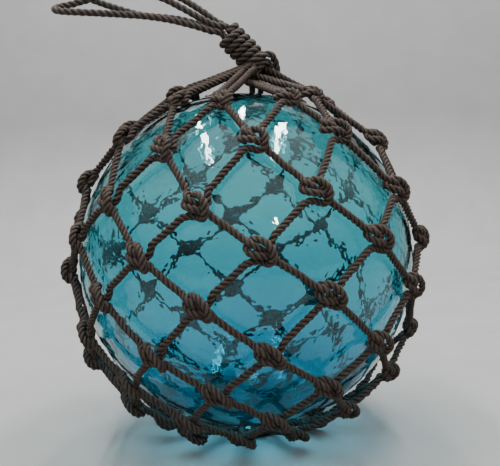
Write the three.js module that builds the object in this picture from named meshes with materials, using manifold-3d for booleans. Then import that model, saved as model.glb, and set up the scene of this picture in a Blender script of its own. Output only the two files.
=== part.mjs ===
// A hand-blown glass fishing float, 300 mm across, in its knotted rope net.
// Millimetres, +Z up. The float stands on the rope ring at the bottom of its net.
import * as THREE from "three";
import { ConvexGeometry } from "three/addons/geometries/ConvexGeometry.js";
import { mergeVertices } from "three/addons/utils/BufferGeometryUtils.js";
import Module from "manifold-3d";

const wasm = await Module();
wasm.setup();

// ---------- driving dimensions ----------
const ballRadius = 150; // 12-inch float
const netRope = 3.0; // radius of the net's three-strand rope
const loopRope = 3.2; // radius of the quarter-inch rope of the lashing and the loops
const gap = 0.3; // between pieces that touch
const ballHeight = 160; // centre of the ball above the floor

const knotsPerRow = 10;
const rowLatitudes = [64, 43, 24, 9.5, -4.5, -20, -32.5, -46, -62.5]; // degrees, from the crown down
const firstLongitude = 6.5; // degrees, of the knots that face the front (-Y)
const twist = { slope: -0.055, bow: 0.07 }; // how the meshes lean round the ball
const barHeight = 7.4; // rope centre above the glass where it enters a knot
const knotThickness = 18.2;
const knotReach = 12.6; // from the knot's centre to where a rope leaves it
const barSides = 5;

const footRadius = 26; // middle of the rope ring at the bottom
const footFlat = 3.5; // half width of its flat spot
const sealRadius = 15; // the button that closes the blow hole
const sealRise = 3.6;

const lashRadius = 13.2; // outside of the lashing's turns
const lashTurns = 5;
const turnPitch = 6.9;
const lashFoot = new THREE.Vector3(11.1, 0, 178.6); // from the ball's centre
const lashAxis = new THREE.Vector3(-0.675, 0, 0.738).normalize();
const neckRadius = 11; // the drawn-up bights under the lashing
const neckLength = 17;
const pairSpread = 3.5; // half the distance between the two ropes of a top mesh

const degrees = Math.PI / 180;
const fullTurn = 2 * Math.PI;

// ---------- materials ----------
const glassFinish = new THREE.MeshStandardMaterial({
  name: "aqua_glass", color: 0x6fb9c8, roughness: 0.05, metalness: 0, transparent: true, opacity: 0.5,
});
const ropeFinish = new THREE.MeshStandardMaterial({
  name: "tarred_rope", color: 0x4a3d36, roughness: 0.85, metalness: 0,
});

// ---------- small helpers ----------
// A closed three.js geometry as a solid that can be joined and cut.
function solid(geometry) {
  const plain = geometry.index ? geometry.toNonIndexed() : geometry.clone();
  plain.deleteAttribute("normal");
  plain.deleteAttribute("uv");
  const merged = mergeVertices(plain, 1e-4);
  return new wasm.Manifold(new wasm.Mesh({
    numProp: 3,
    vertProperties: merged.attributes.position.array,
    triVerts: new Uint32Array(merged.index.array),
  }));
}

// A joined or cut solid as a geometry again.
function geometryOf(body) {
  const mesh = body.getMesh();
  const geometry = new THREE.BufferGeometry();
  geometry.setAttribute("position", new THREE.BufferAttribute(mesh.vertProperties, 3));
  geometry.setIndex(new THREE.BufferAttribute(mesh.triVerts, 1));
  geometry.computeVertexNormals();
  return geometry;
}

// Turns a profile of [radius, height] pairs, listed from the bottom up, about the Z axis.
function turned(profile, segments) {
  const points = profile.map(([radius, height]) => new THREE.Vector2(radius, height));
  return new THREE.LatheGeometry(points, segments).rotateX(Math.PI / 2);
}

// Moves a piece made about +Z so that its axis points along `axis` from `start`.
function aimed(geometry, start, axis) {
  const turn = new THREE.Quaternion().setFromUnitVectors(new THREE.Vector3(0, 0, 1), axis);
  return geometry.applyQuaternion(turn).translate(start.x, start.y, start.z);
}

// A round section with the given number of sides.
function section(radius, sides) {
  const corners = Array.from({ length: sides }, (_, i) => new THREE.Vector2(
    radius * Math.cos((i / sides) * fullTurn),
    radius * Math.sin((i / sides) * fullTurn),
  ));
  return new THREE.Shape(corners);
}

function tube(curve, radius, sides, steps) {
  return new THREE.ExtrudeGeometry(section(radius, sides), { extrudePath: curve, steps, curveSegments: 1 });
}

function straightRope(from, to) {
  return solid(tube(new THREE.LineCurve3(from, to), netRope * 1.06, barSides, 1));
}

// ---------- where the knots sit ----------
// A direction from the ball's centre; longitude 0 faces the front and grows to the right.
function direction(latitude, longitude) {
  return new THREE.Vector3(
    Math.cos(latitude) * Math.sin(longitude),
    -Math.cos(latitude) * Math.cos(longitude),
    Math.sin(latitude),
  );
}

// Hand-tied meshes are never quite even: each row waves a little up and down and sideways.
function knotDirection(row, step) {
  const latitude = rowLatitudes[row] * degrees;
  const evenly = (firstLongitude + (step * 180) / knotsPerRow) * degrees;
  const longitude = evenly + twist.slope * latitude + twist.bow * latitude ** 2;
  const front = 0.5 + 0.5 * Math.cos(longitude);
  const tilt = -4.4 * Math.sin(longitude);
  const wave = front * (4.1 + 2 * latitude) * Math.sin(2 * longitude);
  const sag = -front * 2.3 * latitude * Math.cos(2 * longitude);
  const drift = -1.2 * Math.sin(longitude) - 1.8 * Math.cos(2 * longitude);
  return direction(latitude + (tilt + wave + sag) * degrees, longitude + drift * degrees);
}

// Steps count half meshes, so the rows alternate between odd and even steps.
function stepOf(row, column) {
  return 2 * column + ((row + 1) % 2);
}

const knots = rowLatitudes.map((_, row) => Array.from({ length: knotsPerRow }, (_, column) => {
  const out = knotDirection(row, stepOf(row, column));
  const east = new THREE.Vector3(0, 0, 1).cross(out).normalize();
  return { out, east, north: out.clone().cross(east), ports: [] };
}));

function knotAt(row, step) {
  const column = Math.floor((step - ((row + 1) % 2)) / 2);
  return knots[row][((column % knotsPerRow) + knotsPerRow) % knotsPerRow];
}

function above(knot, height) {
  return knot.out.clone().multiplyScalar(ballRadius + height);
}

// ---------- the net ----------
// The ring of corners where a rope meets a knot, turned the same way at both ends of the rope.
function portRing(knot, towards, alongRope) {
  const centre = above(knot, barHeight);
  const leave = towards.clone().sub(centre).normalize();
  centre.addScaledVector(leave, knotReach);
  const up = knot.out.clone().addScaledVector(alongRope, -knot.out.dot(alongRope)).normalize();
  const side = alongRope.clone().cross(up);
  return Array.from({ length: barSides }, (_, i) => {
    const angle = (i / barSides) * fullTurn;
    return centre.clone()
      .addScaledVector(up, netRope * 1.06 * Math.cos(angle))
      .addScaledVector(side, netRope * 1.06 * Math.sin(angle));
  });
}

// The rope between two knots: one flat strip of two triangles on each of its sides.
function barTriangles(from, to) {
  const start = above(from, barHeight);
  const end = above(to, barHeight);
  const along = end.clone().sub(start).normalize();
  const first = portRing(from, end, along);
  const last = portRing(to, start, along);
  from.ports.push(first);
  to.ports.push(last);
  return first.flatMap((corner, i) => {
    const next = (i + 1) % barSides;
    return [corner, first[next], last[next], corner, last[next], last[i]];
  });
}

// A knot is a rounded lump drawn round the ends of its ropes, open where they enter.
function knotTriangles(knot) {
  const point = (east, north, height) => above(knot, height)
    .addScaledVector(knot.east, east)
    .addScaledVector(knot.north, north);
  const lump = [
    ...[45, 135, 225, 315].map((a) => point(7 * Math.cos(a * degrees), 7 * Math.sin(a * degrees), knotThickness)),
    point(11.5, 0, 11),
    point(-11.5, 0, 11),
    point(0, 11.5, 12),
    point(0, -11.5, 12),
    point(0, 0, 0.5),
  ];
  const hull = new ConvexGeometry([...lump, ...knot.ports.flat()]).attributes.position;
  const kept = [];
  for (let i = 0; i < hull.count; i += 3) {
    const corners = [0, 1, 2].map((j) => new THREE.Vector3().fromBufferAttribute(hull, i + j));
    const inPort = (ring) => corners.every((c) => ring.some((p) => p.distanceTo(c) < 1e-3));
    if (!knot.ports.some(inPort)) kept.push(...corners);
  }
  return kept;
}

function meshworkSolid() {
  const triangles = [];
  for (let row = 0; row + 1 < rowLatitudes.length; row++) {
    for (let column = 0; column < knotsPerRow; column++) {
      const step = stepOf(row, column);
      triangles.push(...barTriangles(knots[row][column], knotAt(row + 1, step - 1)));
      triangles.push(...barTriangles(knots[row][column], knotAt(row + 1, step + 1)));
    }
  }
  for (const knot of knots.flat()) triangles.push(...knotTriangles(knot));
  return solid(new THREE.BufferGeometry().setFromPoints(triangles));
}

// The neck is where the ropes of the top meshes are drawn together, just under the lashing.
function neckSolid(grow) {
  const profile = [
    [0, -neckLength - grow], [6 + grow, -neckLength - grow], [neckRadius + grow, -neckLength + 6],
    [neckRadius + grow, -5], [neckRadius - 1.5 + grow, -gap + grow], [0, -gap + grow],
  ];
  return solid(aimed(turned(profile, 12), lashFoot, lashAxis));
}

// Two ropes lying side by side, as one bar with a furrow down each side.
function pairSection(grow) {
  const wide = pairSpread + netRope + grow;
  const thick = netRope + grow;
  const corners = [
    [wide, 0], [pairSpread, thick], [0, thick - 1.6], [-pairSpread, thick],
    [-wide, 0], [-pairSpread, -thick], [0, 1.6 - thick], [pairSpread, -thick],
  ];
  return corners.map(([x, y]) => new THREE.Vector2(x, y));
}

// Each top knot sends a pair of ropes up to the neck: the two sides of one long mesh.
function topRopes(grow) {
  const neckMiddle = lashFoot.clone().addScaledVector(lashAxis, -0.5 * neckLength);
  return knots[0].map((knot) => {
    const start = above(knot, barHeight + 1);
    const inwards = neckMiddle.clone().sub(start);
    const bar = new THREE.ExtrudeGeometry(new THREE.Shape(pairSection(grow)), {
      depth: inwards.length() - 5, bevelEnabled: false, curveSegments: 1,
    });
    inwards.normalize();
    const side = knot.out.clone().cross(inwards).normalize();
    const upright = inwards.clone().cross(side);
    return solid(bar.applyMatrix4(new THREE.Matrix4().makeBasis(side, upright, inwards).setPosition(start)));
  });
}

// The rope ring at the bottom, with its flat spot.
function footSolid() {
  const outer = footRadius + 8.5;
  const inner = footRadius - 8.5;
  const profile = [
    [inner, -152.5], [inner + 1.5, -157], [footRadius - footFlat, -ballHeight],
    [footRadius + footFlat, -ballHeight], [outer - 2, -157.5], [outer, -152],
    [outer - 3, -147.3], [inner + 3, -149.3], [inner, -152.5],
  ];
  return solid(turned(profile, 20));
}

// The bottom meshes end in loops round the ring: two ropes come in side by side at each loop.
function bottomRopes() {
  const last = rowLatitudes.length - 1;
  return knots[last].flatMap((knot, column) => [-1, 1].map((hand) => {
    const neighbour = knotAt(last, stepOf(last, column) + 2 * hand);
    const loop = knot.out.clone().add(neighbour.out).setZ(0).normalize();
    const side = new THREE.Vector3(0, 0, 1).cross(loop).multiplyScalar(-hand * (netRope + 0.2));
    const end = loop.multiplyScalar(footRadius + 3).add(side).setZ(-153.6);
    return straightRope(above(knot, barHeight), end);
  }));
}

function netGeometry() {
  const pieces = [meshworkSolid(), neckSolid(0), ...topRopes(0), footSolid(), ...bottomRopes()];
  return geometryOf(pieces.reduce((all, piece) => all.add(piece)));
}

// ---------- the glass ball ----------
function ballGeometry() {
  const rings = 14;
  const profile = [[0, -ballRadius - sealRise], [sealRadius - 3, -ballRadius - sealRise + 0.3]];
  profile.push([sealRadius, -ballRadius + 0.1]);
  for (let ring = 1; ring < rings; ring++) {
    const angle = -90 * degrees + (ring / rings) * Math.PI;
    profile.push([ballRadius * Math.cos(angle), ballRadius * Math.sin(angle)]);
  }
  profile.push([0, ballRadius]);
  return turned(profile, 28);
}

// ---------- the lashing and the hanging loops ----------
// Five turns of rope laid round the four ropes of the loops.
function lashGeometry() {
  const profile = [[0, 0]];
  for (let turn = 0; turn < lashTurns; turn++) {
    const low = turn * turnPitch;
    profile.push([lashRadius - 2.4, low + 0.3]);
    profile.push([lashRadius, low + 0.3 * turnPitch], [lashRadius, low + 0.7 * turnPitch]);
  }
  profile.push([lashRadius - 2.8, lashTurns * turnPitch], [0, lashTurns * turnPitch]);
  return aimed(turned(profile, 12), lashFoot, lashAxis);
}

// The drawstring's own bight, which stands up beside the neck and runs into the lashing.
const bightRoute = [
  [17.0, -7.0, 181.5], [20.5, -8.5, 184.0], [26.4, -6.0, 186.0], [31.0, 1.0, 181.0],
  [33.8, 6.0, 173.5], [34.6, 8.5, 164.5],
].map((p) => new THREE.Vector3(...p));

function drawstringGeometry() {
  const bight = solid(tube(new THREE.CatmullRomCurve3(bightRoute), loopRope, 6, 8));
  const nearby = [neckSolid(gap), ...topRopes(gap)];
  return geometryOf(nearby.reduce((rope, piece) => rope.subtract(piece), solid(lashGeometry()).add(bight)));
}

// The two loops that the float hangs by. Their stiff ropes stand out to one side of the lashing.
// Routes are listed from the ball's centre, out along the lower rope and back along the upper.
const loopRoutes = {
  hanging_loop_front: [
    [-24, -5, 204], [-35, -6, 207.5], [-57, -7.5, 213.5], [-79, -8.5, 217.5], [-105, -10, 220],
    [-130, -11.5, 221.8], [-148, -12, 223], [-158, -9, 224.8], [-162.5, -2.5, 227.4],
    [-159.5, 5, 230.5], [-150, 8.5, 233.2], [-136, 8, 236.6], [-118, 5.5, 240], [-100, 2.5, 241.5],
    [-82, -0.5, 239.2], [-65, -2.5, 233.2], [-48, -3.2, 224], [-31, -3.4, 214.2], [-20.5, -3.4, 208],
  ],
  hanging_loop_back: [
    [-23, 4, 206.5], [-35, 5.5, 211.5], [-52, 8, 217], [-66, 10, 219.6], [-79, 12, 221.4],
    [-92, 14, 224], [-105, 16, 228.3], [-118, 18, 233], [-132, 19.5, 238.5], [-145, 21.5, 244.5],
    [-152, 27, 250], [-148, 33.5, 255], [-136, 35, 258], [-118, 32, 258.8], [-98, 26.5, 256],
    [-78, 20, 249.8], [-60, 13.5, 241.3], [-45, 8.5, 232.3], [-32, 5, 223], [-21, 3.6, 214.3],
    [-16.5, 3.4, 210.5],
  ],
};

// Where the four ropes leave the far end of the lashing, across and along its end face.
const lashTop = lashFoot.clone().addScaledVector(lashAxis, lashTurns * turnPitch + gap);
const across = new THREE.Vector3(0, 1, 0).cross(lashAxis).normalize();
const exits = {
  hanging_loop_front: [[-3.6, -3.6], [3.4, -3.4]],
  hanging_loop_back: [[-3.4, 3.6], [3.6, 3.4]],
};

function exitPoint([sideways, deep], lift) {
  return lashTop.clone().addScaledVector(across, sideways).addScaledVector(lashAxis, lift).add({ x: 0, y: deep, z: 0 });
}

function loopGeometry(name) {
  const [lower, upper] = exits[name];
  const route = [
    exitPoint(lower, 0), exitPoint(lower, 5),
    ...loopRoutes[name].map((p) => new THREE.Vector3(...p)),
    exitPoint(upper, 5), exitPoint(upper, 0),
  ];
  return tube(new THREE.CatmullRomCurve3(route), loopRope, 8, 22);
}

// ---------- the model ----------
function piece(name, geometry, finish) {
  const mesh = new THREE.Mesh(geometry, finish);
  mesh.name = name;
  return mesh;
}

const standing = new THREE.Group();
standing.add(piece("glass_ball", ballGeometry(), glassFinish));
standing.add(piece("net", netGeometry(), ropeFinish));
standing.add(piece("drawstring_lashing", drawstringGeometry(), ropeFinish));

// The origin is the middle of the underside, measured without the loops.
const extent = new THREE.Box3().setFromObject(standing);
const middle = extent.getCenter(new THREE.Vector3());
const model = new THREE.Group();
model.position.set(-middle.x, -middle.y, -extent.min.z);
model.add(standing);
for (const name of Object.keys(loopRoutes)) model.add(piece(name, loopGeometry(name), ropeFinish));

export default model;
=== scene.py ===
# %% [markdown]
# # A glass fishing float in its rope net
#
# The float is a hollow ball of blown glass, 300 mm across, held in a net of tarred three-strand rope.
# The net is tied in nine rows of ten knots. Its top meshes are drawn together under a lashing, and two
# loops of rope come out of the lashing to hang the float by.
#
# The solids of the part are already made. This lesson loads them as a fixed frame and dresses them: each
# rope becomes a twisted rope that is really knotted, and the ball becomes wavy, hollow glass.

# %% Load the frame
import bpy
import math
import numpy as np
from mathutils import Matrix, Vector


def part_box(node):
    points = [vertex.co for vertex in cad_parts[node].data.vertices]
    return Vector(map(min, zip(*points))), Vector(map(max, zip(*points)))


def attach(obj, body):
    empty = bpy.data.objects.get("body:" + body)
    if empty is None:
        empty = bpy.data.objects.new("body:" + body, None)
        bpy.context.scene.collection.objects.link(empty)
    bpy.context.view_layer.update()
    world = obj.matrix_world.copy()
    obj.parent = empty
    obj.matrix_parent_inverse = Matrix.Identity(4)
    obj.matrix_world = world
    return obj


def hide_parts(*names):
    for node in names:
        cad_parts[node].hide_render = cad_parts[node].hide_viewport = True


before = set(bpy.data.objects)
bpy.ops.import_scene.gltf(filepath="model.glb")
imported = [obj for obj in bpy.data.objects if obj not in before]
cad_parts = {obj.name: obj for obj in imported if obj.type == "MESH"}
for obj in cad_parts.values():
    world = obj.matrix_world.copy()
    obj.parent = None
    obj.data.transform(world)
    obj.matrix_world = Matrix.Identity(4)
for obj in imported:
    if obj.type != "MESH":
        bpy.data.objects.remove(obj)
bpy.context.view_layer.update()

# %% [markdown]
# ## Where the ball is
#
# Everything is measured from the centre of the ball, because a net round a ball is easiest to describe
# by latitude and longitude. The solid ball's own box gives that centre: its middle across, and half its
# width below its top.

# %% The ball's centre and radius
MM = 0.001
ball_low, ball_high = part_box("glass_ball")
BALL_RADIUS = (ball_high.x - ball_low.x) / 2
CENTRE = np.array([
    (ball_low.x + ball_high.x) / 2,
    (ball_low.y + ball_high.y) / 2,
    ball_high.z - BALL_RADIUS,
])
print("ball centre", CENTRE, "radius", BALL_RADIUS)

# %% [markdown]
# ## The camera
#
# The camera stands a good two feet in front of the ball, a little above its middle, and looks slightly
# down. It leans by a degree or two, as a camera held in the hand does. It could be aimed with a
# constraint, but a plain matrix says the same thing and leaves nothing to be worked out later.

# %% Camera
CAMERA_FROM_BALL = np.array([0.00436, -0.67486, 0.09394])
LOOKS_DOWN = math.radians(6.0)
LEANS = math.radians(-1.7)

camera_data = bpy.data.cameras.new("camera")
camera_data.lens = 53.3
camera_data.sensor_width = 36.0
camera = bpy.data.objects.new("camera", camera_data)
bpy.context.scene.collection.objects.link(camera)
camera.matrix_world = (
    Matrix.Translation(Vector(CENTRE + CAMERA_FROM_BALL))
    @ Matrix.Rotation(math.radians(90) - LOOKS_DOWN, 4, "X")
    @ Matrix.Rotation(LEANS, 4, "Z")
)
bpy.context.scene.camera = camera
print("camera at", tuple(round(v, 4) for v in camera.location))

# %% [markdown]
# ## How a rope is made
#
# Three strands are laid round each other, so a cut through the rope shows three round lobes with deep
# grooves between them, and the cut turns as it moves along. A plain tube with a twisted picture on it
# would look flat at the edges, so the lobes are real geometry here.
#
# The steps are: draw a smooth line through a few points, walk along it in even steps, and set a
# three-lobed ring at each step, turned a little further each time. First, the smooth line. A
# Catmull-Rom spline goes through every point it is given, which suits a rope whose knots are described
# by the places it passes.

# %% A smooth line through points, in even steps
SAMPLES_PER_SPAN = 24


def smooth_line(points, spacing, closed):
    """Points every `spacing` along a centripetal Catmull-Rom spline through `points`."""
    points = np.asarray(points, float)
    if closed:
        padded = np.vstack([points[-1:], points, points[:2]])
    else:
        before = 2 * points[0] - points[1]
        after = 2 * points[-1] - points[-2]
        padded = np.vstack([before, points, after])
    p0, p1, p2, p3 = padded[:-3], padded[1:-2], padded[2:-1], padded[3:]
    t1 = np.linalg.norm(p1 - p0, axis=1) ** 0.5
    t2 = t1 + np.linalg.norm(p2 - p1, axis=1) ** 0.5
    t3 = t2 + np.linalg.norm(p3 - p2, axis=1) ** 0.5
    pieces = []
    for share in np.linspace(0, 1, SAMPLES_PER_SPAN, endpoint=False):
        t = t1 + share * (t2 - t1)
        a1 = p0 + (p1 - p0) * (t / t1)[:, None]
        a2 = p1 + (p2 - p1) * ((t - t1) / (t2 - t1))[:, None]
        a3 = p2 + (p3 - p2) * ((t - t2) / (t3 - t2))[:, None]
        b1 = a1 + (a2 - a1) * (t / t2)[:, None]
        b2 = a2 + (a3 - a2) * ((t - t1) / (t3 - t1))[:, None]
        pieces.append(b1 + (b2 - b1) * ((t - t1) / (t2 - t1))[:, None])
    dense = np.stack(pieces, axis=1).reshape(-1, 3)
    dense = np.vstack([dense, dense[:1] if closed else points[-1:]])
    gone = np.concatenate([[0], np.cumsum(np.linalg.norm(np.diff(dense, axis=0), axis=1))])
    steps = max(4, round(gone[-1] / spacing))
    wanted = np.linspace(0, gone[-1], steps + 1)
    line = np.stack([np.interp(wanted, gone, dense[:, k]) for k in range(3)], axis=1)
    return line[:-1] if closed else line

# %% [markdown]
# The rings need a direction that doesn't spin of its own accord as the rope bends. It is carried along
# from ring to ring, and at each ring only the part that points along the rope is taken out.

# %% Directions carried along a line
def carried_frames(line, closed):
    """Tangents, and two directions square to them that turn as little as possible along the line."""
    if closed:
        tangents = np.roll(line, -1, axis=0) - np.roll(line, 1, axis=0)
    else:
        tangents = np.gradient(line, axis=0)
    tangents /= np.linalg.norm(tangents, axis=1)[:, None]
    start = np.cross(tangents[0], [0.0, 0.0, 1.0])
    if np.linalg.norm(start) < 0.1:
        start = np.cross(tangents[0], [1.0, 0.0, 0.0])
    sides = np.empty_like(tangents)
    side = start / np.linalg.norm(start)
    for i, tangent in enumerate(tangents):
        side = side - tangent * side.dot(tangent)
        side = side / math.sqrt(side.dot(side))
        sides[i] = side
    return tangents, sides, np.cross(tangents, sides)


def leftover_turn(tangents, sides, ups):
    """How far the carried direction has turned when a closed line comes back to its start."""
    side = sides[-1] - tangents[0] * sides[-1].dot(tangents[0])
    return math.atan2(side.dot(ups[0]), side.dot(sides[0]))

# %% [markdown]
# The ring's outline comes from the strands: each strand is a circle of 0.54 of the rope's radius,
# centred at 0.46 of it. A closed rope has to meet itself strand to strand, so its number of strand
# crests is rounded to a whole number. Hand-laid rope isn't even, so the radius swells and shrinks by a
# few per cent, with waves whose phases come from a seeded generator. SWELLS pairs the length of each
# wave, in metres, with its share of the radius.

# %% The section of a three-strand rope
STRAND_OFFSET = 0.46
STRAND_RADIUS = 0.54
LOBE_ANGLES = np.radians([-60, -41, -20.5, 0, 20.5, 41])
SWELLS = ((0.021, 0.022), (0.0087, 0.022), (0.0041, 0.016))


def rope_section():
    """Angles and radii, for a rope of radius 1, of the corners of one ring."""
    angles = np.concatenate([LOBE_ANGLES + math.radians(120 * strand) for strand in range(3)])
    bent = np.tile(LOBE_ANGLES, 3)
    across = STRAND_OFFSET * np.sin(bent)
    return angles, STRAND_OFFSET * np.cos(bent) + np.sqrt(STRAND_RADIUS ** 2 - across ** 2)


def rope_surface(line, closed, radius, lay, seed):
    """Corners of every ring, with the rope coordinates and the height of the strands there."""
    tangents, sides, ups = carried_frames(line, closed)
    count = len(line)
    ends = np.vstack([line, line[:1]]) if closed else line
    gone = np.concatenate([[0], np.cumsum(np.linalg.norm(np.diff(ends, axis=0), axis=1))])
    length = gone[-1]
    gone = gone[:count]
    if closed:
        spare = leftover_turn(tangents, sides, ups)
        crests = round((length / lay) * 3 + 3 * spare / (2 * math.pi))
        turn = (2 * math.pi * crests / 3 - spare) * gone / length
    else:
        turn = 2 * math.pi * gone / lay
    angles, shape = rope_section()
    random = np.random.default_rng(seed)
    wave = np.zeros((count, len(angles)))
    strand = np.repeat(np.arange(3), len(LOBE_ANGLES))
    for size, amount in SWELLS:
        cycles = max(1, round(length / size))
        phases = random.uniform(0, 2 * math.pi, 3)[strand]
        wave += amount * np.sin(2 * math.pi * cycles * gone[:, None] / length + phases[None, :])
    theta = turn[:, None] + angles[None, :]
    reach = radius * shape[None, :] * (1 + wave)
    corners = (
        line[:, None, :]
        + (reach * np.cos(theta))[:, :, None] * sides[:, None, :]
        + (reach * np.sin(theta))[:, :, None] * ups[:, None, :]
    )
    laid = np.stack([
        reach * np.cos(theta), reach * np.sin(theta), np.repeat(gone[:, None], len(angles), axis=1),
    ], axis=2)
    valley = shape.min()
    crown = np.tile((shape - valley) / (1 - valley), (count, 1))
    return corners, laid, crown, length

# %% [markdown]
# The rings are joined into a mesh of four-sided faces. Two things are stored with each corner, for the
# material to read later. One is the place in the rope's own coordinates, so that the fibres run along
# the rope wherever it bends. The other is how high the corner stands on its strand, so that dust stays
# on the crests and dirt in the grooves. It also lets the material paint the crests lighter, as a painted
# highlight, and the grooves darker, as painted shade. An open rope gets a fan of triangles at each end.

# %% A smooth object from vertices and faces
def smooth_object(name, vertices, faces):
    """A mesh object with smooth shading, linked to the scene."""
    mesh = bpy.data.meshes.new(name)
    mesh.from_pydata(vertices, [], faces)
    mesh.polygons.foreach_set("use_smooth", np.ones(len(faces), bool))
    mesh.update()
    made = bpy.data.objects.new(name, mesh)
    bpy.context.scene.collection.objects.link(made)
    return made

# %% Rope mesh
RING_SPACING = 0.0014


def rope_object(name, points, radius, lay, seed, closed=False):
    """A twisted rope through the points, in metres. Returns the object, its line and its length."""
    line = smooth_line(points, RING_SPACING, closed)
    corners, laid, crown, length = rope_surface(line, closed, radius, lay, seed)
    rings, around = corners.shape[:2]
    index = np.arange(rings * around).reshape(rings, around)
    ahead = np.roll(index, -1, axis=0) if closed else index[1:]
    here = index if closed else index[:-1]
    beside = np.roll(here, -1, axis=1)
    beside_ahead = np.roll(ahead, -1, axis=1)
    faces = np.stack([here, beside, beside_ahead, ahead], axis=2).reshape(-1, 4).tolist()
    vertices = corners.reshape(-1, 3)
    laid = laid.reshape(-1, 3)
    crown = crown.reshape(-1)
    if not closed:
        first, last = len(vertices), len(vertices) + 1
        vertices = np.vstack([vertices, line[:1], line[-1:]])
        laid = np.vstack([laid, [[0, 0, 0], [0, 0, length]]])
        crown = np.concatenate([crown, [0.5, 0.5]])
        for k in range(around):
            after = (k + 1) % around
            faces.append([first, int(index[0, after]), int(index[0, k])])
            faces.append([last, int(index[-1, k]), int(index[-1, after])])
    made = smooth_object(name, vertices.tolist(), faces)
    attributes = made.data.attributes
    attributes.new("laid", "FLOAT_VECTOR", "POINT").data.foreach_set("vector", laid.ravel())
    attributes.new("crown", "FLOAT", "POINT").data.foreach_set("value", crown)
    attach(made, "root")
    return made, line, length

# %% [markdown]
# ## The two hanging loops
#
# Each loop is one stiff quarter-inch rope that leaves the far end of the lashing, reaches out to one
# side, bends back on itself and goes in again. The loops are free ropes, and they come first. Their
# points are the ones that the solids follow, measured from the ball's centre in millimetres, out along
# the lower rope and back along the upper one. Only the few next to the lashing differ, so that the
# twisted rope enters it without a kink. The rope bends smoothly between them, as tarred rope does when
# it has set that way.

# %% The lashing's place, which the loops come out of
def unit(vector):
    return vector / np.linalg.norm(vector)


LASH_FOOT = np.array([11.1, 0.0, 178.6])
LASH_AXIS = unit(np.array([-0.675, 0.0, 0.738]))
LASH_TURNS = 5
TURN_PITCH = 6.9
GAP = 0.3
LASH_TOP = LASH_FOOT + LASH_AXIS * (LASH_TURNS * TURN_PITCH + GAP)
LASH_SIDE = unit(np.cross([0.0, 1.0, 0.0], LASH_AXIS))


def exit_point(sideways, deep, lift):
    """A point at the lashing's far end, `sideways` and `deep` across it and `lift` beyond it."""
    return LASH_TOP + LASH_SIDE * sideways + np.array([0.0, deep, 0.0]) + LASH_AXIS * lift

# %% Routes of the loops
LOOP_RADIUS = 0.0033
LOOP_LAY = 0.018

front_points = [
    exit_point(-3.6, -3.6, 0), exit_point(-3.6, -3.6, 1.5),
    [-24, -5, 204], [-35, -6, 207.5], [-57, -7.5, 213.5], [-79, -8.5, 217.5], [-105, -10, 220],
    [-130, -11.5, 221.8], [-148, -12, 223], [-158, -9, 224.8], [-162.5, -2.5, 227.4],
    [-159.5, 5, 230.5], [-150, 8.5, 233.2], [-136, 8, 236.6], [-118, 5.5, 240], [-100, 2.5, 241.5],
    [-82, -0.5, 239.2], [-65, -2.5, 233.2], [-48, -3.2, 224], [-31, -3.4, 214.2], [-20.5, -3.4, 209.4],
    exit_point(3.4, -3.4, 1.5), exit_point(3.4, -3.4, 0),
]
back_points = [
    exit_point(-3.4, 3.6, 0), exit_point(-3.4, 3.6, 2),
    [-23, 4, 206.5], [-35, 5.5, 211.5], [-52, 8, 217], [-66, 10, 219.6], [-79, 12, 221.4],
    [-92, 14, 224], [-105, 16, 228.3], [-118, 18, 233], [-132, 19.5, 238.5], [-145, 21.5, 244.5],
    [-152, 27, 250], [-148, 33.5, 255], [-136, 35, 258], [-118, 32, 258.8], [-98, 26.5, 256],
    [-78, 20, 249.8], [-60, 13.5, 241.3], [-45, 8.5, 232.3], [-32, 5, 223], [-21, 3.6, 214.3],
    exit_point(3.6, 3.4, 3), exit_point(3.6, 3.4, 0),
]


def from_ball(points):
    """Millimetres from the ball's centre, as metres in the frame."""
    return np.asarray(points, float) * MM + CENTRE

loops = []
for number, (node, points) in enumerate((
    ("hanging_loop_front", front_points), ("hanging_loop_back", back_points),
)):
    loop, line, length = rope_object(
        node + "_rope", from_ball(points), LOOP_RADIUS, LOOP_LAY, seed=11 + number,
    )
    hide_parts(node)
    loops.append(loop)
    print(node, "is", round(length, 3), "m long")

# %% [markdown]
# ## The net
#
# A net like this is one rope, worked round and round. Every round hangs its knots on the round above,
# so the simplest true description is ten closed zigzags of rope. Zigzag number r runs between knot row
# r - 1 and knot row r. In the upper row it is the rope that comes up and ties itself round; in the lower
# row it is the bight that the next round ties itself to.
#
# The knots sit on nine latitudes. Hand-tied meshes lean and wave a little, so each knot is nudged by the
# same smooth rule that the solids use: it tilts the rows, waves them, and lets them sag.
#
# Two things are finer here than in the solids, whose net is tight all over. Above and below its middle
# the net stands a few millimetres off the glass, by ROW_LIFTS. And the front right knot of the top row
# has slipped 13 mm down and to the right. SLIPPED_KNOT is the middle and the width of that slip, and
# SLIP_DOWN and SLIP_RIGHT its size, all in degrees.

# %% Where the knots sit
KNOTS_PER_ROW = 10
ROW_LATITUDES = [64, 43, 24, 9.5, -4.5, -20, -32.5, -46, -62.5]
FIRST_LONGITUDE = 6.5
ROW_LIFTS = [3.0, 1.0, 0, 0, 0, 2.5, 5.0, 6.0, 5.0]
SLIPPED_KNOT = (27, 20)
SLIP_DOWN = 4.0
SLIP_RIGHT = 5.0
ROPE_HEIGHT = 7.4
NET_RADIUS = 0.00315
NET_LAY = 0.0136


def closeness(longitude, middle, width):
    """1 at the middle longitude, fading smoothly to 0 either side of it. All are in degrees."""
    return math.exp(-((longitude - middle) / width) ** 2)


def direction(latitude, longitude):
    """A unit vector from the ball's centre; longitude 0 is the front and grows to the right."""
    return np.array([
        math.cos(latitude) * math.sin(longitude),
        -math.cos(latitude) * math.cos(longitude),
        math.sin(latitude),
    ])


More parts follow.
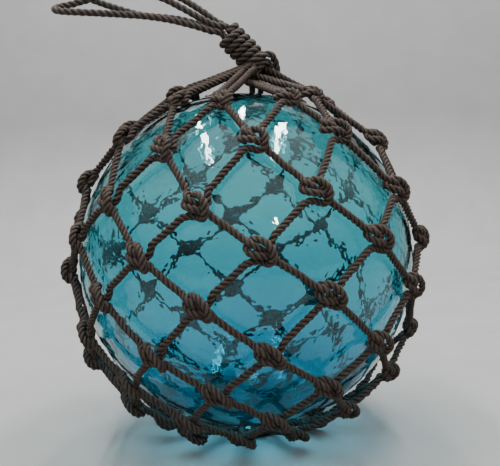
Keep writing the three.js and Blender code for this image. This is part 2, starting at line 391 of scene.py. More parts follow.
def knot_out(row, step):
    """The direction in which a knot sits, from the ball's centre."""
    latitude = math.radians(ROW_LATITUDES[row])
    evenly = math.radians(FIRST_LONGITUDE + step * 180 / KNOTS_PER_ROW)
    longitude = evenly - 0.055 * latitude + 0.07 * latitude ** 2
    front = 0.5 + 0.5 * math.cos(longitude)
    tilt = -4.4 * math.sin(longitude)
    wave = front * (4.1 + 2 * latitude) * math.sin(2 * longitude)
    sag = -front * 2.3 * latitude * math.cos(2 * longitude)
    drift = -1.2 * math.sin(longitude) - 1.8 * math.cos(2 * longitude)
    if row == 0:
        slipped = closeness(math.degrees(longitude), *SLIPPED_KNOT)
        sag -= SLIP_DOWN * slipped
        drift += SLIP_RIGHT * slipped
    return direction(latitude + math.radians(tilt + wave + sag), longitude + math.radians(drift))

# %% [markdown]
# Steps count half meshes round the ball, so knots in one row have odd steps and in the next row even
# ones. Each knot joins the knots half a mesh to either side of it in the rows above and below.

# %% Knots and their own directions
class Knot:
    """One netting knot, with its own east, north and out directions."""

    def __init__(self, row, step):
        self.row = row
        self.step = step
        self.out = knot_out(row, step)
        self.glass = BALL_RADIUS / MM + ROW_LIFTS[row]
        self.east = unit(np.cross([0.0, 0.0, 1.0], self.out))
        self.north = np.cross(self.out, self.east)
        self.ports = {}

    def at(self, height):
        """The point above the glass, in millimetres from the ball's centre."""
        return self.out * (self.glass + height)

    def place(self, x, y, height):
        """A point x east and y north of the knot's middle, at a height above the glass."""
        return self.at(height) + self.east * x + self.north * y


def step_of(row, column):
    """The step of a knot, in half meshes round the ball."""
    return 2 * column + (row + 1) % 2


knots = {}
for row in range(len(ROW_LATITUDES)):
    for column in range(KNOTS_PER_ROW):
        step = step_of(row, column)
        knots[row, step] = Knot(row, step)


def knot_at(row, step):
    """The knot at a step, counted on past a whole turn."""
    return knots[row, step % (2 * KNOTS_PER_ROW)]


print(len(knots), "knots")

# %% [markdown]
# Four ropes leave each knot: upper left, upper right, lower left and lower right. A port is where a rope
# leaves the knot, about 15 mm from its middle. Between two ports the rope is pulled straight. The knots
# of the top row are pulled tighter, so they are smaller.
#
# Above the top row there is no further row: the two upper ropes of each knot run side by side to the
# neck, where the lashing is. Below the bottom row the ropes run in pairs to a ring of rope.

# %% Ports of the knots
PORT_REACH = 14.6
TOP_ROW_SIZE = 0.82
PAIR_SPREAD = 4.0
NECK = np.array([11.5, -1.5, 171.0])
NECK_RADIUS = 10.5
NECK_DROP = np.array([8.0, 0.0, 13.5])
LOW_PAIRS = (38, 32)
FOOT_RADIUS = 26.0
FOOT_HEIGHT = -153.2


def gather_point(knot):
    """Where a top knot's pair of ropes reaches the neck; the front right ones lie low on the glass."""
    longitude = math.degrees(math.atan2(knot.out[0], -knot.out[1]))
    away = unit(np.array([knot.out[0], knot.out[1], 0.0]))
    return NECK + away * NECK_RADIUS - NECK_DROP * closeness(longitude, *LOW_PAIRS)


def neck_side(knot):
    """The direction across a top knot's pair of ropes, to the right as seen from outside."""
    return unit(np.cross(gather_point(knot) - knot.at(ROPE_HEIGHT + 1), knot.out))


def foot_point(knot, hand):
    """Where a bottom rope arrives at the ring, midway to the next knot on that side."""
    neighbour = knot_at(knot.row, knot.step + 2 * hand)
    loop = knot.out + neighbour.out
    loop[2] = 0
    loop = unit(loop)
    side = np.cross([0.0, 0.0, 1.0], loop) * -hand * (NET_RADIUS / MM + 0.2)
    return loop * (FOOT_RADIUS + 3) + side + [0, 0, FOOT_HEIGHT]


def port_reach(knot):
    """How far a knot's ports are from its middle."""
    return PORT_REACH * (TOP_ROW_SIZE if knot.row == 0 else 1.0)


def port_towards(knot, target):
    """The port on the straight way from a knot's middle to the target."""
    start = knot.at(ROPE_HEIGHT)
    leave = target - start
    return start + leave * (port_reach(knot) / np.linalg.norm(leave))


last_row = len(ROW_LATITUDES) - 1
for knot in knots.values():
    for name, rows, hand in (
        ("upper_left", -1, -1), ("upper_right", -1, 1), ("lower_left", 1, -1), ("lower_right", 1, 1),
    ):
        if 0 <= knot.row + rows <= last_row:
            neighbour = knot_at(knot.row + rows, knot.step + hand)
            knot.ports[name] = port_towards(knot, neighbour.at(ROPE_HEIGHT))
        elif rows > 0:
            knot.ports[name] = port_towards(knot, foot_point(knot, hand))
        else:
            up = unit(gather_point(knot) - knot.at(ROPE_HEIGHT + 1))
            knot.ports[name] = (
                knot.at(ROPE_HEIGHT + 1) + up * port_reach(knot) + neck_side(knot) * hand * PAIR_SPREAD
            )

# %% [markdown]
# ## The netting knot
#
# It is a sheet bend. The upper round makes a bight, a narrow U that hangs down into the knot. The lower
# round's rope comes from the lower left, passes under the U's foot, turns back over the front as a broad
# band, goes behind the U's left side, comes round on the left, tucks under the band and leaves to the
# lower right.
#
# Each rope is given as a list of points: millimetres east and north of the knot's middle, and height
# above the glass. They hold for a square mesh; where a mesh is narrow or wide, the whole knot is turned
# and slanted with the four ropes that leave it. A smaller knot shrinks towards its underside.

# %% Points of the two ropes in a knot
KNOT_UNDERSIDE = 3.6
BIGHT_POINTS = [
    (-6.8, 6.2, 9.2), (-2.6, 2.6, 9.4), (1.0, 0.2, 6.8), (4.2, -0.6, 4.6), (7.6, 2.4, 4.2),
]
TIE_POINTS = [
    (-5.4, -7.0, 4.4), (-0.4, -7.4, 4.0), (3.8, -9.2, 4.8), (6.8, -9.2, 8.0), (8.4, -5.4, 11.8),
    (8.2, -1.0, 12.8), (6.0, 3.2, 12.4), (2.4, 6.8, 10.6), (-1.8, 8.6, 7.6), (-5.8, 8.2, 4.4),
    (-8.8, 5.2, 3.6), (-9.2, 1.4, 6.2), (-6.2, -1.6, 9.2), (-1.4, -3.4, 10.0), (3.6, -4.4, 8.6),
    (8.0, -4.6, 7.0),
]


def knot_axes(knot):
    """The knot's own right and up, slanted half-way towards the ropes that leave it."""
    flat = {}
    for name, port in knot.ports.items():
        away = port - knot.at(ROPE_HEIGHT)
        flat[name] = np.array([away @ knot.east, away @ knot.north])
        flat[name] /= np.linalg.norm(flat[name])
    right = unit(flat["upper_right"] + flat["lower_right"] - flat["upper_left"] - flat["lower_left"])
    up = unit(flat["upper_left"] + flat["upper_right"] - flat["lower_left"] - flat["lower_right"])
    square_up = unit(up + np.array([-right[1], right[0]]))
    return right, square_up


def through_knot(knot, points, come, leave):
    """The rope's points in this knot, from the port it comes in at to the port it leaves by."""
    right, up = knot_axes(knot)
    size = TOP_ROW_SIZE if knot.row == 0 else 1.0
    route = [knot.ports[come]]
    for x, y, height in points:
        flat = (x * right + y * up) * size
        rise = (height - KNOT_UNDERSIDE) * size
        route.append(knot.place(flat[0], flat[1], KNOT_UNDERSIDE + rise))
    route.append(knot.ports[leave])
    return route

# %% [markdown]
# Between knots the rope is almost straight, because the net is tight round the ball. Three points keep
# it so; the middle one is pushed aside by up to half a millimetre, as no rope lies quite straight.

# %% The straight stretch between two ports
NUDGE = 0.5
net_random = np.random.default_rng(20)


def straight_stretch(start, end):
    """Points that keep a pulled rope straight between two ports."""
    nudge = net_random.uniform(-NUDGE, NUDGE, 3)
    return [start + (end - start) * 0.2, (start + end) / 2 + nudge, start + (end - start) * 0.8]

# %% [markdown]
# Now the rounds. Going east, a round alternates between tying a knot in its upper row and lying as a
# bight in its lower row.

# %% Points of a round between two rows
def round_points(upper_row):
    """The closed zigzag between upper_row and the row below it."""
    route = []
    for column in range(KNOTS_PER_ROW):
        step = step_of(upper_row, column)
        tied = knot_at(upper_row, step)
        hung = knot_at(upper_row + 1, step + 1)
        following = knot_at(upper_row, step + 2)
        route += through_knot(tied, TIE_POINTS, "lower_left", "lower_right")
        route += straight_stretch(tied.ports["lower_right"], hung.ports["upper_left"])
        route += through_knot(hung, BIGHT_POINTS, "upper_left", "upper_right")
        route += straight_stretch(hung.ports["upper_right"], following.ports["lower_left"])
    return route

# %% [markdown]
# The top round lies as a bight in each knot of the first row and runs up to the neck between them. At
# the neck each long mesh turns over at a small U under the lashing. The Us are set round the lashing's
# axis in the order of their knots, so that the ropes don't cross. NECK_TURN gives each side of a U two
# places, as millimetres out from that axis and up along it.

# %% Points of the top round
NECK_TURN = ((8.0, -1.5), (6.0, 4.0))


def neck_turn(knot, following):
    """The small U at the neck that joins a knot's right rope to the next knot's left rope."""
    ends = []
    for source, hand in ((knot, 1), (following, -1)):
        gather = gather_point(source) + neck_side(source) * hand * PAIR_SPREAD
        away = gather - LASH_FOOT
        away = unit(away - LASH_AXIS * away.dot(LASH_AXIS))
        ends.append([gather] + [LASH_FOOT + away * out + LASH_AXIS * up for out, up in NECK_TURN])
    return ends[0] + ends[1][::-1]


def top_points():
    route = []
    for column in range(KNOTS_PER_ROW):
        knot = knot_at(0, step_of(0, column))
        following = knot_at(0, step_of(0, column) + 2)
        turn = neck_turn(knot, following)
        route += through_knot(knot, BIGHT_POINTS, "upper_left", "upper_right")
        route += straight_stretch(knot.ports["upper_right"], turn[0])
        route += turn
        route += straight_stretch(turn[-1], following.ports["upper_left"])
    return route

# %% [markdown]
# The bottom round ties its knots in the last row, and between them it loops round the ring of rope
# that the net was started on. The loop goes under the ring and comes back over it.

# %% Points of the bottom round
def foot_turn(knot, following):
    """The loop round the ring at the bottom, from one knot's right rope to the next one's left."""
    start = foot_point(knot, 1)
    end = foot_point(following, -1)
    inward = -unit(np.array([start[0] + end[0], start[1] + end[1], 0.0]))
    middle = (start + end) / 2
    across = start - middle
    return [
        start,
        middle + across * 0.9 + inward * 4.5 + [0, 0, -3.2],
        middle + across * 0.5 + inward * 9.0 + [0, 0, 0.4],
        middle - across * 0.5 + inward * 8.0 + [0, 0, 3.4],
        middle - across * 0.9 + inward * 3.0 + [0, 0, 3.6],
        end + [0, 0, 1.2],
    ]


def bottom_points():
    route = []
    for column in range(KNOTS_PER_ROW):
        knot = knot_at(last_row, step_of(last_row, column))
        following = knot_at(last_row, step_of(last_row, column) + 2)
        turn = foot_turn(knot, following)
        route += through_knot(knot, TIE_POINTS, "lower_left", "lower_right")
        route += straight_stretch(knot.ports["lower_right"], turn[0])
        route += turn
        route += straight_stretch(turn[-1], following.ports["lower_left"])
    return route

# %% Make the net
net_pieces = []
routes = [top_points()]
routes += [round_points(row) for row in range(last_row)]
routes += [bottom_points()]
total = 0
for number, route in enumerate(routes):
    rope, _, length = rope_object(
        f"net_round_{number}", from_ball(route), NET_RADIUS, NET_LAY, seed=30 + number, closed=True,
    )
    net_pieces.append(rope)
    total += length
print("the net takes", round(total, 1), "m of rope")

# %% [markdown]
# The ring at the bottom is two turns of the same rope, one inside the other. It is what the float
# stands on.

# %% The ring that the net was started on
RING_HEIGHT = -156.7
RING_STEP = 3.1
CROSSING_START = 0.85
CROSSING_LENGTH = 0.3

ring_points = []
for turn in np.linspace(0, 2, 41):
    angle = 2 * math.pi * turn
    crossed_over = np.clip((turn - CROSSING_START) / CROSSING_LENGTH, 0, 1)
    radius = FOOT_RADIUS - RING_STEP + 2 * RING_STEP * crossed_over
    ring_points.append([radius * math.cos(angle), radius * math.sin(angle), RING_HEIGHT])
foot_ring, _, length = rope_object(
    "net_foot_ring", from_ball(ring_points), NET_RADIUS, NET_LAY, seed=50,
)
net_pieces.append(foot_ring)
for rope in net_pieces:
    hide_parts("net")
print("ring rope", round(length, 3), "m")

# %% [markdown]
# ## The drawstring and its lashing
#
# The drawstring stands up beside the neck as a bight, goes over into the neck, and is then wound five
# times round the four ropes of the loops. The winding is a helix about the lashing's own axis. A little
# unevenness in its radius makes it look wound by hand. Both its ends turn inwards and are lost among the
# ropes. WIND_START is the angle of turn 0 round the axis, in radians, and WIND_RISE its height, in turns.
# A second, shorter rope lies inside the drawstring's bight.

# %% Points of the lashing
WIND_RADIUS = 10.0
WIND_ROPE = 0.0035
WIND_START = 1.2
WIND_RISE = 0.35
WIND_UNEVEN = 0.3


def wound(turn, radius):
    """A point on the winding, `turn` turns up from its foot."""
    angle = WIND_START - 2 * math.pi * turn
    depth = np.array([0.0, 1.0, 0.0])
    height = (turn + WIND_RISE) * TURN_PITCH
    return (
        LASH_FOOT + LASH_AXIS * height
        + LASH_SIDE * radius * math.cos(angle) + depth * radius * math.sin(angle)
    )


lash_random = np.random.default_rng(60)
lashing_points = [LASH_FOOT + LASH_AXIS * -4, wound(-1.05, 5.0)]
for turn in np.arange(-0.9, LASH_TURNS - 0.75, 1 / 12):
    lashing_points.append(wound(turn, WIND_RADIUS + lash_random.uniform(-WIND_UNEVEN, WIND_UNEVEN)))
lashing_points += [wound(LASH_TURNS - 0.7, 7.0), wound(LASH_TURNS - 0.6, 3.0)]

# %% Make the lashing, the ropes inside it and the drawstring's bight
CORES = ((-3.5, -3.5), (3.4, -3.4), (-3.4, 3.5), (3.5, 3.4))
lashing, _, length = rope_object(
    "lashing_rope", from_ball(lashing_points), WIND_ROPE, LOOP_LAY, seed=61,
)
lash_pieces = [lashing]
for number, (sideways, deep) in enumerate(CORES):
    core_points = [exit_point(sideways, deep, lift) for lift in (-43, -30, -15, 0)]
    core, _, _ = rope_object(
        f"lashing_core_{number + 1}", from_ball(core_points), LOOP_RADIUS, LOOP_LAY, seed=64 + number,
    )
    lash_pieces.append(core)
bight_points = [
    [9.0, -8.0, 168.0], [13.0, -9.0, 174.0], [17.5, -9.5, 178.4], [22.5, -9.0, 181.6],
    [27.0, -6.0, 182.2], [30.4, -2.0, 178.5], [32.6, 2.0, 172.0], [33.0, 5.0, 165.0], [31.0, 7.0, 158.5],
]
bight, _, bight_length = rope_object(
    "drawstring_rope", from_ball(bight_points), LOOP_RADIUS, LOOP_LAY, seed=62,
)
inner_points = [
    [12.5, -6.0, 165.0], [16.5, -8.5, 170.6], [21.0, -8.5, 174.8], [25.4, -5.0, 175.4],
    [27.0, 0.0, 169.0], [26.0, 4.0, 162.0],
]
inner_bight, _, _ = rope_object(
    "drawstring_inner_rope", from_ball(inner_points), LOOP_RADIUS, LOOP_LAY, seed=63,
)
lash_pieces += [bight, inner_bight]
for rope in lash_pieces:
    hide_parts("drawstring_lashing")
print("lashing", round(length, 3), "m, drawstring bight", round(bight_length, 3), "m")

# %% [markdown]
# ## The glass ball
#
# The ball is blown, so it is hollow, with a wall a few millimetres thick, and neither its outside nor
# its inside is quite round. Both skins are modelled: light then bends in and out of the wall as it does
# in the real float, and the net behind is seen upright and only a little shifted. A single skin would
# act as a solid lens and turn everything behind it upside down.
#
# The waves are a sum of smooth ripples in seeded directions. The outer skin is set in by a fraction of a
# millimetre, so that its waves stay inside the solid ball. The blow hole at the bottom is closed by a
# button of glass, a low dome on the outer skin.

# %% A wavy ball of glass
BUTTON_RADIUS = 0.0155
BUTTON_HEIGHT = 0.0034


def ripples(directions, seed, amounts):
    """Smooth waves over a ball, in metres, for unit directions. Amounts pairs wave size and height."""
    random = np.random.default_rng(seed)
    total = np.zeros(len(directions))
    for size, height in amounts:
        for _ in range(6):
            axis = unit(random.normal(size=3))
            phase = random.uniform(0, 2 * math.pi)
            bend = random.normal(size=3)
            along = directions @ axis + 0.25 * np.sin(3.1 * directions @ bend + phase)
            total += height / 6 ** 0.5 * np.sin(2 * math.pi * along * BALL_RADIUS / size + phase)
    return total


def ball_skin(radius, columns, rows, seed, amounts, button):
    """Vertices and faces of one skin of the ball, about its centre."""
    latitudes = np.linspace(-math.pi / 2, math.pi / 2, rows + 1)[1:-1]
    longitudes = np.linspace(0, 2 * math.pi, columns, endpoint=False)
    lat, lon = np.meshgrid(latitudes, longitudes, indexing="ij")
    unit_points = np.stack([
        np.cos(lat) * np.cos(lon), np.cos(lat) * np.sin(lon), np.sin(lat),
    ], axis=2).reshape(-1, 3)
    unit_points = np.vstack([[[0, 0, -1]], unit_points, [[0, 0, 1]]])
    reach = radius + ripples(unit_points, seed, amounts)
    if button:
        across = np.hypot(unit_points[:, 0], unit_points[:, 1]) * radius / BUTTON_RADIUS
        dome = BUTTON_HEIGHT * np.sqrt(np.clip(1 - across ** 2.4, 0, 1))
        reach = reach + np.where(unit_points[:, 2] < 0, dome, 0)
    vertices = unit_points * reach[:, None]
    top = len(vertices) - 1
    faces = []
    for k in range(columns):
        after = (k + 1) % columns
        faces.append((0, 1 + after, 1 + k))
        faces.append((top, top - columns + k, top - columns + after))
        for row in range(rows - 2):
            low = 1 + row * columns
            faces.append((low + k, low + after, low + columns + after, low + columns + k))
    return vertices, faces

# %% Make the glass ball
GLASS_WALL = 0.0045
SET_IN = 0.0004
OUTER_WAVES = [(0.090, 0.00025), (0.034, 0.00008), (0.017, 0.000035)]
INNER_WAVES = [(0.080, 0.00028), (0.030, 0.00009), (0.016, 0.00003)]
outer, outer_faces = ball_skin(BALL_RADIUS - SET_IN, 256, 128, 70, OUTER_WAVES, True)
inner, inner_faces = ball_skin(BALL_RADIUS - GLASS_WALL, 160, 80, 71, INNER_WAVES, False)
glass_vertices = np.vstack([outer, inner]) + CENTRE
glass_faces = outer_faces + [tuple(len(outer) + v for v in reversed(face)) for face in inner_faces]
glass_ball = smooth_object("glass_ball_hollow", glass_vertices.tolist(), glass_faces)
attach(glass_ball, "root")
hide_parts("glass_ball")
print("glass ball", len(glass_faces), "faces")

# %% [markdown]
# ## Finishes
#
# Two materials dress the float: tarred rope and blown glass. Effects that belong to a finish are built
# as shader node groups with named sockets, so that each material can set its own values.

# %% Helpers for building node groups
def new_group(name, inputs, outputs):
    """An empty shader node group with the given (name, type, default) inputs and (name, type) outputs."""
    group = bpy.data.node_groups.new(name, "ShaderNodeTree")
    for label, kind, default in inputs:
        socket = group.interface.new_socket(label, in_out="INPUT", socket_type=kind)
        if default is not None:
            socket.default_value = default
    for label, kind in outputs:
        group.interface.new_socket(label, in_out="OUTPUT", socket_type=kind)
    return group, group.nodes.new("NodeGroupInput"), group.nodes.new("NodeGroupOutput")


def noise(tree, vector, scale, detail=4.0, roughness=0.6, distortion=0.0):
    """A 3-D noise node fed by a vector socket. Scale may be a number or a socket."""
    node = tree.nodes.new("ShaderNodeTexNoise")
    tree.links.new(vector, node.inputs["Vector"])
    if isinstance(scale, (int, float)):
        node.inputs["Scale"].default_value = scale
    else:
        tree.links.new(scale, node.inputs["Scale"])
    node.inputs["Detail"].default_value = detail
    node.inputs["Roughness"].default_value = roughness
    node.inputs["Distortion"].default_value = distortion
    return node.outputs["Fac"]


def remap(tree, value, low, high, to_low=0.0, to_high=1.0):
    """The value's range from low to high, stretched to the new range and clamped to it."""
    node = tree.nodes.new("ShaderNodeMapRange")
    node.inputs["From Min"].default_value = low
    node.inputs["From Max"].default_value = high
    node.inputs["To Min"].default_value = to_low
    node.inputs["To Max"].default_value = to_high
    tree.links.new(value, node.inputs["Value"])
    return node.outputs["Result"]


def maths(tree, operation, first, second):
    """A Math node's result. Each input is a number or a socket."""
    node = tree.nodes.new("ShaderNodeMath")
    node.operation = operation
    for socket, value in zip(node.inputs, (first, second)):
        if isinstance(value, (int, float)):
            socket.default_value = value
        else:
            tree.links.new(value, socket)
    return node.outputs[0]


def blend_colours(tree, share, first, second):
    """The first colour, going over to the second as share goes from 0 to 1."""
    node = tree.nodes.new("ShaderNodeMix")
    node.data_type = "RGBA"
    sockets = [s for s in node.inputs if s.type == "RGBA"]
    tree.links.new(share, node.inputs[0])
    for socket, value in zip(sockets, (first, second)):
        if isinstance(value, tuple):
            socket.default_value = value
        else:
            tree.links.new(value, socket)
    return [s for s in node.outputs if s.type == "RGBA"][0]

# %% [markdown]
# The fibres of laid rope run along the rope, not along the strand. Noise that is stretched along the
# rope's own coordinates gives them. The group puts out a fibre mask and a height for the bump.

# %% Group: fibres along a rope
fibre_group, given, made = new_group(
    "rope fibres",
    [("Laid", "NodeSocketVector", None), ("Fineness", "NodeSocketFloat", 2600.0)],
    [("Fibres", "NodeSocketFloat"), ("Clumps", "NodeSocketFloat")],
)
stretch = fibre_group.nodes.new("ShaderNodeVectorMath")
stretch.operation = "MULTIPLY"
stretch.inputs[1].default_value = (1.0, 1.0, 0.16)
fibre_group.links.new(given.outputs["Laid"], stretch.inputs[0])
fibres = noise(fibre_group, stretch.outputs[0], given.outputs["Fineness"], 3.0, 0.65, 0.6)
clumps = noise(fibre_group, given.outputs["Laid"], 330.0, 3.0, 0.6)
fibre_group.links.new(remap(fibre_group, fibres, 0.30, 0.72), made.inputs["Fibres"])
fibre_group.links.new(remap(fibre_group, clumps, 0.32, 0.70), made.inputs["Clumps"])
print("group", fibre_group.name)

# %% [markdown]
# Old rope is paler on the crests of its strands, where it is rubbed and dusty, and nearly black in the
# grooves, where the tar and the dirt stay. The colours also hold painted light. The pale crests are partly
# a painted highlight from the light above, and the black grooves are partly painted shade. The group mixes
# three colours by the crown height, the fibres and slow patches.

# %% Group: worn crests with a painted highlight, dirty grooves with painted shade
wear_and_light_group, given, made = new_group(
    "strand dust, dirt and painted light",
    [
        ("Crown", "NodeSocketFloat", 0.5), ("Fibres", "NodeSocketFloat", 0.5),
        ("Patches", "NodeSocketFloat", 0.5), ("Shade in grooves", "NodeSocketColor", (0.01, 0.008, 0.006, 1)),
        ("Rope", "NodeSocketColor", (0.05, 0.035, 0.03, 1)),
        ("Worn and lit", "NodeSocketColor", (0.16, 0.12, 0.10, 1)),
    ],
    [("Colour", "NodeSocketColor"), ("Worn and lit", "NodeSocketFloat")],
)
# The crest mask carries both the rubbed dust and the painted highlight on the crests.
crest_wear_and_light = remap(wear_and_light_group, given.outputs["Crown"], 0.25, 1.0)
rubbed_and_lit = maths(wear_and_light_group, "MULTIPLY", crest_wear_and_light, given.outputs["Fibres"])
patchy = remap(wear_and_light_group, given.outputs["Patches"], 0.0, 1.0, 0.45, 1.15)
rubbed_and_lit = maths(wear_and_light_group, "MULTIPLY", rubbed_and_lit, patchy)
# Painted shade: the grooves are darkened for their tar and dirt and for the shade between the strands.
grooved_and_shaded = blend_colours(
    wear_and_light_group, remap(wear_and_light_group, given.outputs["Crown"], 0.02, 0.5),
    given.outputs["Shade in grooves"], given.outputs["Rope"],
)
# Painted highlight: the crests go over to the pale colour for rubbed dust and for the light above.
worn_and_lit = blend_colours(wear_and_light_group, rubbed_and_lit, grooved_and_shaded, given.outputs["Worn and lit"])
wear_and_light_group.links.new(worn_and_lit, made.inputs["Colour"])
wear_and_light_group.links.new(rubbed_and_lit, made.inputs["Worn and lit"])
print("group", wear_and_light_group.name)

# %% [markdown]
# ## Tarred rope
#
# Dull, brown-black, with pale, dusty crests whose paleness is partly a painted highlight. The roughness is
# high everywhere and a little lower where the tar shows; the bump raises single fibres.

# %% Rope material
def attribute(tree, name, output):
    """A socket that reads what is stored with the mesh's corners."""
    node = tree.nodes.new("ShaderNodeAttribute")
    node.attribute_name = name
    return node.outputs[output]


def rope_material(name, groove_shade_colour, rope, worn_and_lit_colour):
    """Tarred rope in three colours: grooves with painted shade, strands, and worn crests with a painted
    highlight.
    """
    material = bpy.data.materials.new(name)
    material.use_nodes = True
    tree = material.node_tree
    shader = tree.nodes["Principled BSDF"]
    fibres = tree.nodes.new("ShaderNodeGroup")
    fibres.node_tree = fibre_group
    tree.links.new(attribute(tree, "laid", "Vector"), fibres.inputs["Laid"])
    wear_and_light = tree.nodes.new("ShaderNodeGroup")
    wear_and_light.node_tree = wear_and_light_group
    tree.links.new(attribute(tree, "crown", "Fac"), wear_and_light.inputs["Crown"])
    tree.links.new(fibres.outputs["Fibres"], wear_and_light.inputs["Fibres"])
    tree.links.new(fibres.outputs["Clumps"], wear_and_light.inputs["Patches"])
    wear_and_light.inputs["Shade in grooves"].default_value = groove_shade_colour
    wear_and_light.inputs["Rope"].default_value = rope
    wear_and_light.inputs["Worn and lit"].default_value = worn_and_lit_colour
    tree.links.new(wear_and_light.outputs["Colour"], shader.inputs["Base Color"])
    rough = remap(tree, wear_and_light.outputs["Worn and lit"], 0.0, 1.0, 0.72, 0.95)
    tree.links.new(rough, shader.inputs["Roughness"])
    bump = tree.nodes.new("ShaderNodeBump")
    bump.inputs["Strength"].default_value = 0.55
    bump.inputs["Distance"].default_value = 0.0005
    tree.links.new(fibres.outputs["Fibres"], bump.inputs["Height"])
    tree.links.new(bump.outputs["Normal"], shader.inputs["Normal"])
    shader.inputs["Specular IOR Level"].default_value = 0.3
    return material


# In each rope, the first colour is the grooves with painted shade, and the last is the crests with a painted
# highlight.
net_rope_material = rope_material(
    "tarred net rope", (0.007, 0.005, 0.004, 1), (0.038, 0.026, 0.021, 1), (0.160, 0.115, 0.094, 1),
)
loop_rope_material = rope_material(
    "tarred loop rope", (0.008, 0.006, 0.005, 1), (0.044, 0.033, 0.028, 1), (0.170, 0.135, 0.117, 1),
)
for rope in net_pieces:
    rope.data.materials.append(net_rope_material)
for rope in loops + lash_pieces:
    rope.data.materials.append(loop_rope_material)
print("rope materials on", len(net_pieces) + len(loops) + len(lash_pieces), "ropes")

# %% [markdown]
# ## Aqua glass
#
# The glass is aqua blue all through, smooth and glossy. Principled glass with a plain Transmission
# Weight of 1 does it. The tint is paler at the top and deeper towards the foot, and changes a little from
# place to place, as the blown wall does. The deeper foot stands for the thicker glass low down. The paler
# top is partly a painted reflection of the pale veil that the ceiling lays over the upper glass. A fine
# bump adds the small ripples that the mesh is too coarse for. For light from the lamps the shader swaps
# to a tinted Transparent, so that the ball glows inside and throws a blue-green shadow instead of a black
# one.

# %% Group: ripples in blown glass
ripple_group, given, made = new_group(
    "blown glass",
    [("Place", "NodeSocketVector", None), ("Top tint", "NodeSocketColor", (0.4, 0.8, 0.9, 1)),
     ("Foot tint", "NodeSocketColor", (0.2, 0.6, 0.7, 1))],
    [("Colour", "NodeSocketColor"), ("Height", "NodeSocketFloat")],
)
patches = noise(ripple_group, given.outputs["Place"], 9.0, 2.0, 0.5)
apart = ripple_group.nodes.new("ShaderNodeSeparateXYZ")
ripple_group.links.new(given.outputs["Place"], apart.inputs[0])
# Deeper towards the foot for the thicker glass there, and paler at the top, partly as painted reflection.
low_down = remap(ripple_group, apart.outputs["Z"], 0.22, 0.02)
patches = remap(ripple_group, patches, 0.3, 0.7, -0.12, 0.12)
tint = maths(ripple_group, "ADD", low_down, patches)
colour = blend_colours(ripple_group, tint, given.outputs["Top tint"], given.outputs["Foot tint"])
small = noise(ripple_group, given.outputs["Place"], 190.0, 0.6, 0.5)
ripple_group.links.new(colour, made.inputs["Colour"])
ripple_group.links.new(small, made.inputs["Height"])
print("group", ripple_group.name)

# %% Glass material
glass = bpy.data.materials.new("aqua blown glass")
glass.use_nodes = True
tree = glass.node_tree
shader = tree.nodes["Principled BSDF"]
place = tree.nodes.new("ShaderNodeTexCoord")
ripple = tree.nodes.new("ShaderNodeGroup")
ripple.node_tree = ripple_group
tree.links.new(place.outputs["Object"], ripple.inputs["Place"])
# The top's colour is partly a painted reflection of the pale ceiling; the foot's is the thicker glass.
ripple.inputs["Top tint"].default_value = (0.26, 0.73, 0.78, 1)
ripple.inputs["Foot tint"].default_value = (0.07, 0.43, 0.60, 1)
tree.links.new(ripple.outputs["Colour"], shader.inputs["Base Color"])
shader.inputs["Transmission Weight"].default_value = 1.0
shader.inputs["Metallic"].default_value = 0.0
shader.inputs["Roughness"].default_value = 0.0
shader.inputs["IOR"].default_value = 1.5
bump = tree.nodes.new("ShaderNodeBump")
bump.inputs["Strength"].default_value = 1.0
bump.inputs["Distance"].default_value = 0.00018
tree.links.new(ripple.outputs["Height"], bump.inputs["Height"])
tree.links.new(bump.outputs["Normal"], shader.inputs["Normal"])
clear = tree.nodes.new("ShaderNodeBsdfTransparent")
clear.inputs["Color"].default_value = (0.54, 0.68, 0.71, 1)
rays = tree.nodes.new("ShaderNodeLightPath")
swap = tree.nodes.new("ShaderNodeMixShader")
tree.links.new(rays.outputs["Is Shadow Ray"], swap.inputs[0])
tree.links.new(shader.outputs[0], swap.inputs[1])
tree.links.new(clear.outputs[0], swap.inputs[2])
tree.links.new(swap.outputs[0], tree.nodes["Material Output"].inputs["Surface"])
glass_ball.data.materials.append(glass)
print("glass finished")

# %% [markdown]
# ## The stage
#
# A pale floor that curves up into a pale backdrop, so that no edge shows behind the float. It isn't
# part of the object.

# %% Floor and backdrop
STAGE_REACH = 3.0
BACKDROP = 1.15
CURVE_RADIUS = 0.35


def stage_profile():
    """The line of the floor, the curve and the backdrop, as (y, z), from the front to the back."""
    curve = BACKDROP - CURVE_RADIUS
    line = [(-STAGE_REACH, 0.0), (0.0, 0.0), (curve, 0.0)]
    for angle in np.linspace(0, math.pi / 2, 13)[1:]:
        line.append((curve + CURVE_RADIUS * math.sin(angle), CURVE_RADIUS - CURVE_RADIUS * math.cos(angle)))
    line.append((BACKDROP, STAGE_REACH))
    return line


profile = stage_profile()
stage_vertices = [(x, y, z) for x in (-STAGE_REACH, STAGE_REACH) for y, z in profile]
n = len(profile)
stage_faces = [(k, n + k, n + k + 1, k + 1) for k in range(n - 1)]
pale_stage = smooth_object("pale_stage", stage_vertices, stage_faces)

paper = bpy.data.materials.new("pale paper")
paper.use_nodes = True
tree = paper.node_tree
shader = tree.nodes["Principled BSDF"]
where = tree.nodes.new("ShaderNodeTexCoord")
grain = noise(tree, where.outputs["Object"], 14.0, 4.0, 0.5)
tone = blend_colours(
    tree, remap(tree, grain, 0.3, 0.7), (0.315, 0.32, 0.315, 1), (0.34, 0.345, 0.34, 1),
)
tree.links.new(tone, shader.inputs["Base Color"])
shader.inputs["Roughness"].default_value = 0.8
pale_stage.data.materials.append(paper)
print("stage set")

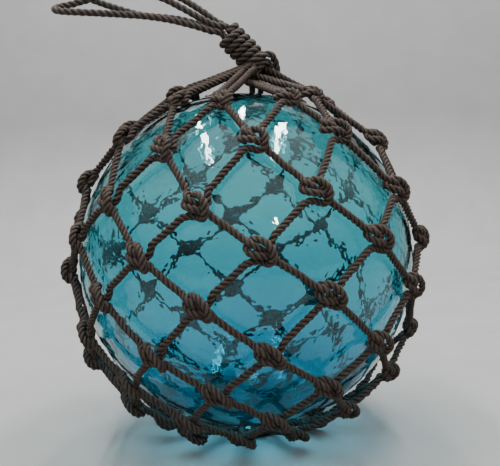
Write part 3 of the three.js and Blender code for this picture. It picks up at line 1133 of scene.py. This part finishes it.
# %% [markdown]
# ## Light
#
# Soft light from all round, brighter from above. Three long, narrow lamps under the ceiling show on the
# glass as bright, broken streaks near its top, and one small warm lamp as a glint in the middle. Two
# broad lamps lift the ropes; they are kept out of reflections, where they would show as white panes.

# %% World and lamps
world = bpy.data.worlds.new("soft room")
bpy.context.scene.world = world
world.use_nodes = True
sky = world.node_tree
facing = sky.nodes.new("ShaderNodeTexCoord")
split = sky.nodes.new("ShaderNodeSeparateXYZ")
sky.links.new(facing.outputs["Generated"], split.inputs[0])
overhead = remap(sky, split.outputs["Z"], 0.15, 0.95)
room = blend_colours(sky, overhead, (0.20, 0.21, 0.22, 1), (1.35, 1.38, 1.35, 1))
sky.links.new(room, sky.nodes["Background"].inputs["Color"])
sky.nodes["Background"].inputs["Strength"].default_value = 1.0


def lamp(name, place, target, size, watts, colour=(1.0, 1.0, 1.0)):
    """A square soft lamp at `place`, aimed at `target`, both from the ball's centre in metres."""
    data = bpy.data.lights.new(name, "AREA")
    data.shape = "RECTANGLE"
    data.size, data.size_y = size
    data.energy = watts
    data.color = colour
    made = bpy.data.objects.new(name, data)
    bpy.context.scene.collection.objects.link(made)
    start = Vector(place) + Vector(CENTRE)
    aim = Vector(target) + Vector(CENTRE) - start
    made.matrix_world = Matrix.Translation(start) @ aim.to_track_quat("-Z", "Y").to_matrix().to_4x4()
    return made


lamp("ceiling left", (-0.48, 0.33, 1.5), (-0.48, 0.33, 0), (0.06, 1.7), 26)
lamp("ceiling middle", (0.0, 0.98, 1.5), (0.0, 0.98, 0), (0.06, 1.0), 15)
lamp("ceiling right", (0.47, 0.20, 1.5), (0.47, 0.20, 0), (0.06, 1.3), 20)
lamp("warm lamp", (0.55, -1.40, 0.78), (0, 0, 0), (0.05, 0.05), 1.6, (1.0, 0.72, 0.45))
for fill in (
    lamp("soft front", (-0.7, -1.5, 1.3), (0, 0, 0), (1.2, 1.2), 6),
    lamp("soft right", (1.6, -0.4, 0.9), (0, 0, 0), (1.0, 1.0), 4),
):
    fill.visible_glossy = False
    fill.visible_transmission = False
print("lamps and world set")
